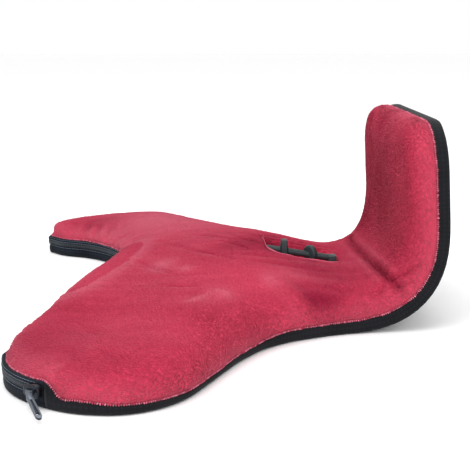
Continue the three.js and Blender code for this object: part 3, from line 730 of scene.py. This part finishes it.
tips, tip_inputs = new_tree("seam_tips", Pitch=1.15 * mm, Length=0.95 * mm,
                            Radius=0.56 * mm, Droop=0.75, Seed=3)
tip_points, tip_turn = along_path(tips, tip_inputs["Geometry"], tip_inputs["Pitch"])
tip = add_node(tips, "GeometryNodeMeshCone", {
    "Vertices": 5, "Side Segments": 1, "Radius Top": 0.22 * mm,
    "Radius Bottom": tip_inputs["Radius"], "Depth": tip_inputs["Length"]})
droop = add_node(tips, "ShaderNodeMath", {0: tip_inputs["Droop"], 1: -1.0}, operation="MULTIPLY")
droop_way = add_node(tips, "ShaderNodeCombineXYZ", {"X": droop.outputs[0]})
tip_stray = add_node(tips, "FunctionNodeRandomValue", {
    0: (-0.3, -0.3, 0), 1: (0.3, 0.3, 0), "Seed": tip_inputs["Seed"]}, data_type="FLOAT_VECTOR")
tip_way = add_node(tips, "ShaderNodeVectorMath", {0: droop_way.outputs[0], 1: tip_stray.outputs[0]})
tip_lean = add_node(tips, "FunctionNodeEulerToRotation", {0: tip_way.outputs[0]})
tip_turned = add_node(tips, "FunctionNodeRotateRotation", {
    0: tip_turn, 1: tip_lean.outputs[0]}, rotation_space="LOCAL")
tip_size = add_node(tips, "FunctionNodeRandomValue", {
    2: 0.75, 3: 1.1, "Seed": tip_inputs["Seed"]}, data_type="FLOAT")
tips_set = add_node(tips, "GeometryNodeInstanceOnPoints", {
    "Points": tip_points, "Instance": tip.outputs["Mesh"], "Rotation": tip_turned.outputs[0],
    "Scale": tip_size.outputs[1]})
tips_toned = add_node(tips, "GeometryNodeStoreNamedAttribute", {
    "Geometry": tips_set.outputs[0], "Name": "tone",
    "Value": add_node(tips, "FunctionNodeRandomValue", data_type="FLOAT").outputs[1],
}, data_type="FLOAT", domain="INSTANCE")
end_tree(tips, tips_toned.outputs[0], cut_pile)

# The row follows the plush where it meets the bands, seen from a little outside.
whole_rim = np.arange(0, rim_length, mm)
stand_off = 8 * mm
body_tree = BVHTree.FromPolygons(mesh_points(body.data).tolist(), [f.vertices[:] for f in body.data.polygons])
seen_from = on_rim(whole_rim, stand_off + 0 * whole_rim, seam_line(whole_rim) + 1.1 * mm)
inwards = -unit(round_the_rim(rim_out, whole_rim))
plush_edge = np.array([
    stand_off - (body_tree.ray_cast(Vector(a), Vector(b), 14 * mm)[3] or stand_off)
    for a, b in zip(seen_from, inwards)])
plush_edge = np.concatenate([plush_edge[-2:], plush_edge, plush_edge[:2]])
plush_edge = np.convolve(plush_edge, np.ones(5) / 5, "valid")
seam_edge = rim_path("seam_edge", whole_rim, plush_edge + 0.1 * mm, seam_line(whole_rim) + 0.5 * mm)
grow(seam_edge, tips)
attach(seam_edge, "root")


# Slot edge
# Round the slot the plush is turned in and topstitched, drawn as a thin rolled fold. It is paler along
# the near lip only: a painted highlight on the lip's edge.
slot_middle, slot_half_length, slot_half_width = 79 * mm, 22 * mm, 20.9 * mm
fold_radius = 0.45 * mm
fold_steps, fold_sides = 240, 8
slot_path = []
for turn in np.linspace(0, math.tau, 160, endpoint=False):
    across = np.array([math.cos(turn), math.sin(turn)])
    square = np.sign(across) * np.abs(across) ** 0.25
    slot_path.append((slot_middle + slot_half_length * square[0], slot_half_width * square[1]))
slot_path = np.array(slot_path)
slot_steps = np.linalg.norm(np.roll(slot_path, -1, axis=0) - slot_path, axis=1)
slot_at = np.concatenate([[0], np.cumsum(slot_steps)])
even_at = np.linspace(0, slot_at[-1], fold_steps, endpoint=False)
closed_path = np.vstack([slot_path, slot_path[:1]])
slot_path = np.stack([np.interp(even_at, slot_at, closed_path[:, k]) for k in (0, 1)], axis=1)
slot_run = unit(np.roll(slot_path, -1, axis=0) - np.roll(slot_path, 1, axis=0))
slot_outwards = np.stack([slot_run[:, 1], -slot_run[:, 0]], axis=1)
on_cover = slot_path + slot_outwards * 1.3 * mm
down = Vector((0, 0, -1))
fold_height = np.array([body_tree.ray_cast(Vector((x, y, 90 * mm)), down)[0].z for x, y in on_cover])
fold_height = sum(np.roll(fold_height, k) for k in range(-3, 4)) / 7
fold_points = []
near_lip = fade(-slot_path[:, 1], 19.5 * mm, 10 * mm)
fold_height = fold_height + 0.7 * mm * near_lip
for (x, y), (out_x, out_y), z, near in zip(slot_path, slot_outwards, fold_height, near_lip):
    for round_fold in np.linspace(0, math.tau, fold_sides, endpoint=False):
        thick = fold_radius * (0.5 + 0.5 * near)
        sideways, upwards = thick * math.cos(round_fold), thick * math.sin(round_fold)
        fold_points.append((x + out_x * sideways, y + out_y * sideways, z + upwards))
fold_faces = []
for i in range(fold_steps):
    here, ahead = i * fold_sides, (i + 1) % fold_steps * fold_sides
    for k in range(fold_sides):
        beside = (k + 1) % fold_sides
        fold_faces.append((here + k, here + beside, ahead + beside, ahead + k))
slot_edge = new_piece("slot_edge", fold_points, fold_faces, cut_pile)
fold_tone_and_highlight = slot_edge.data.attributes.new("tone", "FLOAT", "POINT")
fold_mottling = np.array([0.2 * noise.noise(Vector(p) / (2 * mm)) for p in fold_points])
# Paler along the near lip, a painted highlight on its edge; darker round the rest, finely mottled.
fold_tone_and_highlight.data.foreach_set("value", fold_mottling + np.repeat(-0.7 + 1.0 * near_lip, fold_sides))
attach(slot_edge, "root")


# Side band and underside panel
# Plain black polyester of a close weave. The band runs round both flanks and over the top of the
# head. The panel closes the underside and the back, and carries no load but the filling's.
def woven_cloth(name, dark, light, thread, bump, **shader_inputs):
    """A woven cloth whose threads follow the piece's UV map, which is in metres."""
    material, tree, shader = new_material(name, **shader_inputs)
    uv = add_node(tree, "ShaderNodeUVMap", uv_map="cloth").outputs["UV"]
    ribs = [add_node(tree, "ShaderNodeTexWave", {
        "Vector": uv, "Scale": 1 / (thread * math.tau) * math.pi / 5, "Distortion": 0.4, "Detail": 1.0},
        bands_direction=direction, wave_profile="SIN").outputs["Fac"] for direction in ("X", "Y")]
    weave = add_node(tree, "ShaderNodeMath", {0: ribs[0], 1: ribs[1]}, operation="MULTIPLY")
    wear = add_node(tree, "ShaderNodeTexNoise", {"Vector": uv, "Scale": 60.0, "Detail": 6.0})
    mixed = add_node(tree, "ShaderNodeMath", {
        0: weave.outputs[0], 1: 0.45, 2: wear.outputs["Fac"]}, operation="MULTIPLY_ADD")
    spread = add_node(tree, "ShaderNodeMapRange", {
        "Value": mixed.outputs[0], "From Min": 0.35, "From Max": 0.95})
    colour = add_node(tree, "ShaderNodeMix", {
        0: spread.outputs["Result"], 6: linear(dark), 7: linear(light)}, data_type="RGBA")
    relief = add_node(tree, "ShaderNodeBump", {
        "Height": weave.outputs[0], "Strength": bump, "Distance": 0.25 * mm})
    tree.links.new(colour.outputs[2], shader.inputs["Base Color"])
    tree.links.new(relief.outputs["Normal"], shader.inputs["Normal"])
    return material


def lay_weave(piece, flat):
    """Gives a piece a UV map in metres from each vertex's place on the flat cloth."""
    loop_points = np.empty(len(piece.data.loops), int)
    piece.data.loops.foreach_get("vertex_index", loop_points)
    piece.data.uv_layers.new(name="cloth").data.foreach_set("uv", flat[loop_points].ravel())


def sewn_strip(name, start, end, section, material, step=2 * mm):
    """A strip of cloth round part of the rim. The section gives its outline, from the inner lower
    corner round the outside to the inner upper corner, as outwards and height at each length."""
    count = max(int(round((end - start) / step)), 2)
    at = np.linspace(start, end, count + 1)
    outline = section(at)
    rows = [on_rim(at, outwards, height) for outwards, height in outline]
    corners = len(rows)
    strip_points = np.stack(rows, axis=1).reshape(-1, 3)
    faces = []
    for i in range(count):
        for k in range(corners):
            a, b = i * corners + k, i * corners + (k + 1) % corners
            faces.append((a, b, b + corners, a + corners))
    faces.append(range(corners - 1, -1, -1))
    faces.append(range(count * corners, (count + 1) * corners))
    piece = new_piece(name, strip_points, faces, material)
    heights = np.stack([height for _, height in outline], axis=1).ravel()
    lay_weave(piece, np.stack([np.repeat(at, corners), heights], axis=1))
    return piece


def cloth_section(low, high, proud, wave=0.0, steps=9):
    """A band's outline between two heights: flat inside, bellied outside, a little uneven."""
    def section(at):
        lowest, highest = low(at), high(at)
        outline = [(np.full(len(at), -1.3 * mm), lowest)]
        for u in np.linspace(0, 1, steps):
            belly = proud * math.sin(math.pi * (0.06 + 0.88 * u)) ** 0.7 - 0.3 * mm
            ripple = [wave * noise.noise(Vector((a / (14 * mm), u * 1.5, 2))) for a in at]
            outline.append((belly + np.array(ripple), lowest + (highest - lowest) * u))
        outline.append((np.full(len(at), -1.3 * mm), highest))
        return outline
    return section


def level(height):
    """The same height at all lengths."""
    return lambda at: np.full(len(at), height)


chain_points = np.array([v.co[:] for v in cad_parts["zip_chain"].data.vertices])
fine_at = np.arange(0, rim_length, 0.25 * mm)
fine_rim = round_the_rim(rim, fine_at)
chain_at = [fine_at[np.linalg.norm(fine_rim - p, axis=1).argmin()] for p in chain_points]
zip_start, zip_end = min(chain_at), max(chain_at)

band_foot = 0.6 * mm
band_cloth = woven_cloth("black_woven_polyester", "#08090C", "#16171C", 0.8 * mm, 0.25,
                         roughness=0.8, sheen_weight=0.05, sheen_roughness=0.5, specular_ior_level=0.15)
side_band = sewn_strip("side_band_cloth", zip_end, rim_length + zip_start,
                       cloth_section(level(band_foot), seam_line, 0.9 * mm, 0.25 * mm),
                       band_cloth)
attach(side_band, "root")
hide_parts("side_band")

panel_mesh = merged("underside_panel")
panel_low, panel_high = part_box("underside_panel")
grid = 7 * mm
for axis, low, high in (((1, 0, 0), panel_low.x, 0.1), ((0, 1, 0), panel_low.y, panel_high.y)):
    for where in np.arange(low + grid, high, grid):
        everything = [*panel_mesh.verts, *panel_mesh.edges, *panel_mesh.faces]
        bmesh.ops.bisect_plane(panel_mesh, geom=everything, plane_co=Vector(axis) * where, plane_no=axis)
panel = new_piece("underside_panel_cloth", [v.co for v in panel_mesh.verts],
                  [[v.index for v in f.verts] for f in panel_mesh.faces], band_cloth)
panel_points = mesh_points(panel.data)
station, outwards, height = place_on_rim(panel_points)

# The panel bags a little behind the bend, with soft drapes.
back_out = unit(np.stack([
    panel_points[:, 0] - 90 * mm, panel_points[:, 0] * 0, panel_points[:, 2] * 0 - 10 * mm], axis=1))
bulge = fade(panel_points[:, 2], 40 * mm, 8 * mm) * fade(-outwards, 40 * mm, 4 * mm)
drape_width, drape_length = 30 * mm, 50 * mm
drape = np.array([
    noise.noise(Vector((p[1] / drape_width, p[2] / drape_length, 4))) for p in panel_points]) * 0.8 * mm
panel_points = panel_points + back_out * ((3.5 * mm + drape) * bulge)[:, None]
set_points(panel.data, panel_points)
lay_weave(panel, np.stack([panel_points[:, 0] + panel_points[:, 2], panel_points[:, 1]], axis=1))
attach(panel, "root")
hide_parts("underside_panel")


# Zip tapes
# Two slate blue woven tapes, sewn in between the plush and the underside panel. The upper one is
# folded to a lip over the teeth; the pale stitch row along the lip's edge is partly a painted highlight on
# it.
chain_low, chain_high = 6.6 * mm, 10.4 * mm
tape_cloth = woven_cloth("slate_woven_tape", "#0B0E14", "#1C222B", 0.9 * mm, 0.4,
                         roughness=0.75, sheen_weight=0.02, sheen_roughness=0.4, specular_ior_level=0.08)
lower_tape = sewn_strip("zip_tape_lower_cloth", zip_start, zip_end,
                        cloth_section(level(band_foot), level(chain_low), 0.8 * mm, 0.15 * mm),
                        tape_cloth)
upper_tape = sewn_strip("zip_tape_upper_cloth", zip_start, zip_end,
                        cloth_section(level(chain_high - 0.6 * mm), seam_line, 1.3 * mm,
                                      0.15 * mm), tape_cloth)
for tape, tape_node in ((lower_tape, "zip_tape_lower"), (upper_tape, "zip_tape_upper")):
    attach(tape, "root")
    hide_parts(tape_node)


# Zip chain
# A nylon coil zip: the loops of two coils, sewn along the tapes' edges, lock into each other.
# Beneath them runs the narrow woven core that the coils are sewn on.
nylon, *_ = mottled(
    "moulded_nylon_coil", "#14181E", "#2B333C", 300.0, 3.0, 0.15, 0.1 * mm,
    roughness=0.4, specular_ior_level=0.4)

core = sewn_strip("zip_core", zip_start, zip_end,
                  cloth_section(level(chain_low), level(chain_high), 0.5 * mm), tape_cloth)

coil, coil_inputs = new_tree("coil_teeth", Pitch=1.3 * mm, Length=2.5 * mm,
                             Thickness=0.85 * mm, Step=0.55 * mm)
coil_points, coil_turn = along_path(coil, coil_inputs["Geometry"], coil_inputs["Pitch"])
bead = add_node(coil, "GeometryNodeMeshUVSphere", {"Segments": 6, "Rings": 5, "Radius": 0.5})
bead_size = add_node(coil, "ShaderNodeCombineXYZ", {
    "X": coil_inputs["Thickness"], "Y": coil_inputs["Length"], "Z": coil_inputs["Thickness"]})
half_pitch = add_node(coil, "ShaderNodeMath", {0: coil_inputs["Pitch"], 1: 0.5}, operation="MULTIPLY")
step_down = add_node(coil, "ShaderNodeMath", {0: coil_inputs["Step"], 1: -1.0}, operation="MULTIPLY")
upper_bead = add_node(coil, "GeometryNodeTransform", {
    "Geometry": bead.outputs[0], "Scale": bead_size.outputs[0],
    "Translation": add_node(coil, "ShaderNodeCombineXYZ", {"Y": coil_inputs["Step"]}).outputs[0]})
lower_bead = add_node(coil, "GeometryNodeTransform", {
    "Geometry": bead.outputs[0], "Scale": bead_size.outputs[0],
    "Translation": add_node(coil, "ShaderNodeCombineXYZ", {
        "X": half_pitch.outputs[0], "Y": step_down.outputs[0]}).outputs[0]})
bead_pair = add_node(coil, "GeometryNodeJoinGeometry")
coil.links.new(upper_bead.outputs[0], bead_pair.inputs[0])
coil.links.new(lower_bead.outputs[0], bead_pair.inputs[0])
coiled = add_node(coil, "GeometryNodeInstanceOnPoints", {
    "Points": coil_points, "Instance": bead_pair.outputs[0], "Rotation": coil_turn})
end_tree(coil, coiled.outputs[0], nylon)

teeth_at = np.arange(zip_start + 8 * mm, zip_end - 2 * mm, mm)
teeth = rim_path("zip_teeth", teeth_at, 0.55 * mm, np.full(len(teeth_at), (chain_low + chain_high) / 2))
grow(teeth, coil)
for chain_piece in (core, teeth):
    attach(chain_piece, "root")
    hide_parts("zip_chain")


# Stitches
# Spun polyester thread: near-continuous pale rows that hold the coils to the tapes and the lip's
# fold down, and short black ones sunk along the bands' feet. The pale row along the lip's edge also
# stands in for the light on it: a painted highlight.
def stitch_tree(name, material, **sizes):
    """A row of stitches along a path, each a small bead of thread."""
    tree, inputs = new_tree(name, **sizes)
    spots, turn = along_path(tree, inputs["Geometry"], inputs["Pitch"])
    bead = add_node(tree, "GeometryNodeMeshUVSphere", {"Segments": 6, "Rings": 5, "Radius": 0.5})
    size = add_node(tree, "ShaderNodeCombineXYZ", {
        "X": inputs["Length"], "Y": inputs["Thickness"], "Z": inputs["Thickness"]})
    sewn = add_node(tree, "GeometryNodeInstanceOnPoints", {
        "Points": spots, "Instance": bead.outputs[0], "Rotation": turn, "Scale": size.outputs[0]})
    end_tree(tree, sewn.outputs[0], material)
    return tree


thread_look = {"roughness": 0.7, "specular_ior_level": 0.25}
pale_thread, *_ = mottled("grey_spun_thread", "#3D4653", "#77838F", 700.0, 2.0, **thread_look)
black_thread, *_ = mottled("black_spun_thread", "#08090B", "#16181D", 700.0, 2.0, **thread_look)
pale_row = stitch_tree("tape_stitches", pale_thread, Pitch=2.0 * mm, Length=2.1 * mm,
                       Thickness=0.34 * mm)
black_row = stitch_tree("band_stitches", black_thread, Pitch=2.6 * mm, Length=1.9 * mm,
                        Thickness=0.4 * mm)
band_at = np.arange(zip_end, rim_length + zip_start, 2 * mm)
tape_at = np.arange(zip_start + 6 * mm, zip_end, 2 * mm)
for row_name, row_tree, row_at, row_outwards, row_height in (
    ("stitches_over_coil", pale_row, tape_at, 0.98 * mm, np.full(len(tape_at), chain_high - 0.15 * mm)),
    ("stitches_under_coil", pale_row, tape_at, 0.62 * mm, np.full(len(tape_at), chain_low - 0.45 * mm)),
    # This pale row also stands in for the light on the lip's edge: a painted highlight.
    ("stitches_and_highlight_tape_lip", pale_row, tape_at, 0.72 * mm, seam_line(tape_at) - 0.65 * mm),
    ("stitches_tape_foot", black_row, tape_at, 0.2 * mm, np.full(len(tape_at), 1.4 * mm)),
    ("stitches_band_foot", black_row, band_at, 0.2 * mm, np.full(len(band_at), 1.3 * mm)),
):
    stitch_row = rim_path(row_name, row_at, row_outwards, row_height)
    grow(stitch_row, row_tree)
    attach(stitch_row, "root")


# Zip slider and puller
# Die-cast zinc with a black nickel plating: a shield over the chain's end with a bridge, and a long
# narrow puller with an eye, its face pressed in between raised rims, that hangs down beside it.
def softened(mesh, name, node, width, material, cutters=()):
    """A rigid piece from a node's merged shape, cut by the cutters, with its edges rounded."""
    bmesh.ops.dissolve_limit(mesh, angle_limit=math.radians(1), verts=mesh.verts, edges=mesh.edges)
    faces = [[v.index for v in f.verts] for f in mesh.faces]
    piece = new_piece(name, [v.co for v in mesh.verts], faces, material)
    for cutter in cutters:
        cut = piece.modifiers.new("cut", "BOOLEAN")
        cut.object = cutter
        cut.solver = "EXACT"
    round_edges = piece.modifiers.new("round_edges", "BEVEL")
    round_edges.width = width
    round_edges.segments = 3
    round_edges.limit_method = "ANGLE"
    round_edges.angle_limit = math.radians(35)
    settle(piece)
    for cutter in cutters:
        bpy.data.objects.remove(cutter)
    piece.data.shade_smooth()
    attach(piece, "root")
    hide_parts(node)
    return piece


zinc, zinc_tree, zinc_shader, zinc_mottling, zinc_colour = mottled(
    "black_nickel_on_zinc", "#191B1F", "#3A3E45", 260.0, 4.0, metallic=1.0)
zinc_rough = add_node(zinc_tree, "ShaderNodeMapRange", {
    "Value": zinc_mottling, "To Min": 0.25, "To Max": 0.42})
# Raised faces and rims are mixed towards a paler grey: a painted highlight.
raised_edge_highlight = add_node(zinc_tree, "ShaderNodeAttribute", attribute_name="raised_edge_highlight").outputs["Fac"]
zinc_highlighted = add_node(zinc_tree, "ShaderNodeMix", {
    0: raised_edge_highlight, 6: zinc_colour, 7: linear("#60666F")}, data_type="RGBA")
zinc_tree.links.new(zinc_highlighted.outputs[2], zinc_shader.inputs["Base Color"])
zinc_tree.links.new(zinc_rough.outputs["Result"], zinc_shader.inputs["Roughness"])
slider_mesh = merged("zip_slider")
puller_top = max((v.co for v in merged("zip_puller").verts), key=lambda place: place.z)
slider_bridge = min((v.co for v in slider_mesh.verts), key=lambda place: (place - puller_top).length).copy()
for vertex in slider_mesh.verts:
    vertex.co = vertex.co.lerp(slider_bridge, 0.18)
slider = softened(slider_mesh, "zip_slider_shield", "zip_slider", 0.6 * mm, zinc)


def paint_raised_highlight(piece, heights, full, none):
    """Marks how far a piece's raised edges are painted bright: a painted highlight."""
    edge_highlight = piece.data.attributes.new("raised_edge_highlight", "FLOAT", "POINT")
    edge_highlight.data.foreach_set("value", fade(heights, full, none))


# The shield's outermost face and bridge get the painted highlight.
slider_points = mesh_points(slider.data)
slider_face = (slider_points * rim_out[place_on_rim(slider_points)[0][0]]).sum(1)
paint_raised_highlight(slider, slider_face, slider_face.max(), slider_face.max() - 0.5 * mm)

# The puller's own directions: along it to its free end, across it, and out of its face.
puller_mesh = merged("zip_puller")
puller_points = np.array([v.co[:] for v in puller_mesh.verts])
puller_middle = (puller_points.max(0) + puller_points.min(0)) / 2
puller_along, puller_across, puller_face = np.linalg.svd(puller_points - puller_points.mean(0))[2]
puller_along = puller_along * -np.sign(puller_along[2])
puller_face = puller_face * np.sign(-puller_face[1])
reach_along = (puller_points - puller_middle) @ puller_along
reach_face = (puller_points - puller_middle) @ puller_face
across_middle = ((puller_points - puller_middle) @ puller_across).mean()
narrower_by = 0.36
for vertex in puller_mesh.verts:
    place = np.array(vertex.co[:])
    across = (place - puller_middle) @ puller_across - across_middle
    vertex.co = place - puller_across * across * narrower_by
recess_start, recess_end = np.quantile([reach_along.min(), reach_along.max()], [0.3, 0.88])
recess_corners = []
for depth in (reach_face.max() - 0.6 * mm, reach_face.max() + 1 * mm):
    for along, half_width in (
        (recess_start, 0.4), (recess_end, 0.85), (recess_end, -0.85), (recess_start, -0.4),
    ):
        recess_corners.append(puller_middle + puller_along * along + puller_face * depth
                              + puller_across * (across_middle + half_width * mm))
recess = new_piece("recess", recess_corners, [
    (0, 1, 2, 3), (7, 6, 5, 4), (0, 4, 5, 1), (1, 5, 6, 2), (2, 6, 7, 3), (3, 7, 4, 0)], zinc)
recess_mesh = bmesh.new()
recess_mesh.from_mesh(recess.data)
bmesh.ops.recalc_face_normals(recess_mesh, faces=recess_mesh.faces)
recess_mesh.to_mesh(recess.data)
puller = softened(puller_mesh, "zip_puller_plate", "zip_puller", 0.2 * mm, zinc, [recess])
# The puller's raised rims get the painted highlight.
puller_height = (mesh_points(puller.data) - puller_middle) @ puller_face
paint_raised_highlight(puller, puller_height, reach_face.max(), reach_face.max() - 0.15 * mm)


# Rail and knob
# Moulded plastic in a dark teal grey, satin: a round bar that slopes with the cushion, with a square
# post that stands up through the slot, and a thin round knob, threaded on the bar, that is the stop.
moulded, *_ = mottled(
    "moulded_abs", "#1D2527", "#323E41", 420.0, 3.0, 0.12, 0.08 * mm,
    roughness=0.5, specular_ior_level=0.3)

# The post is slimmer than its room in the solid, and the knob sits a little askew on the bar.
rail_mesh = merged("stop_rail")
post_middle, post_half, bar_radius = 69 * mm, 2.7 * mm, 2.2 * mm
post_length_share, post_width_share = 0.62, 0.8
for vertex in rail_mesh.verts:
    if abs(vertex.co.x - post_middle) < post_half and abs(vertex.co.y) > bar_radius:
        vertex.co.x = post_middle + (vertex.co.x - post_middle) * post_length_share
        vertex.co.y *= post_width_share
rail = softened(rail_mesh, "stop_rail_bar", "stop_rail", 0.7 * mm, moulded)
knob_mesh = bmesh.new()
knob_low, knob_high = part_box("stop_knob")
knob_radius, knob_thickness = (knob_high.z - knob_low.z) / 2, 3.4 * mm
knob_turn = Matrix.Rotation(math.radians(33), 4, "Z") @ Matrix.Rotation(math.radians(90), 4, "Y")
knob_place = Matrix.Translation((knob_low + knob_high) / 2 + Vector((0, 0, 0.6 * mm)))
bmesh.ops.create_cone(knob_mesh, cap_ends=True, segments=36, radius1=knob_radius, radius2=knob_radius,
                      depth=knob_thickness, matrix=knob_place @ knob_turn)
knob = softened(knob_mesh, "stop_knob_disc", "stop_knob", 1.1 * mm, moulded)
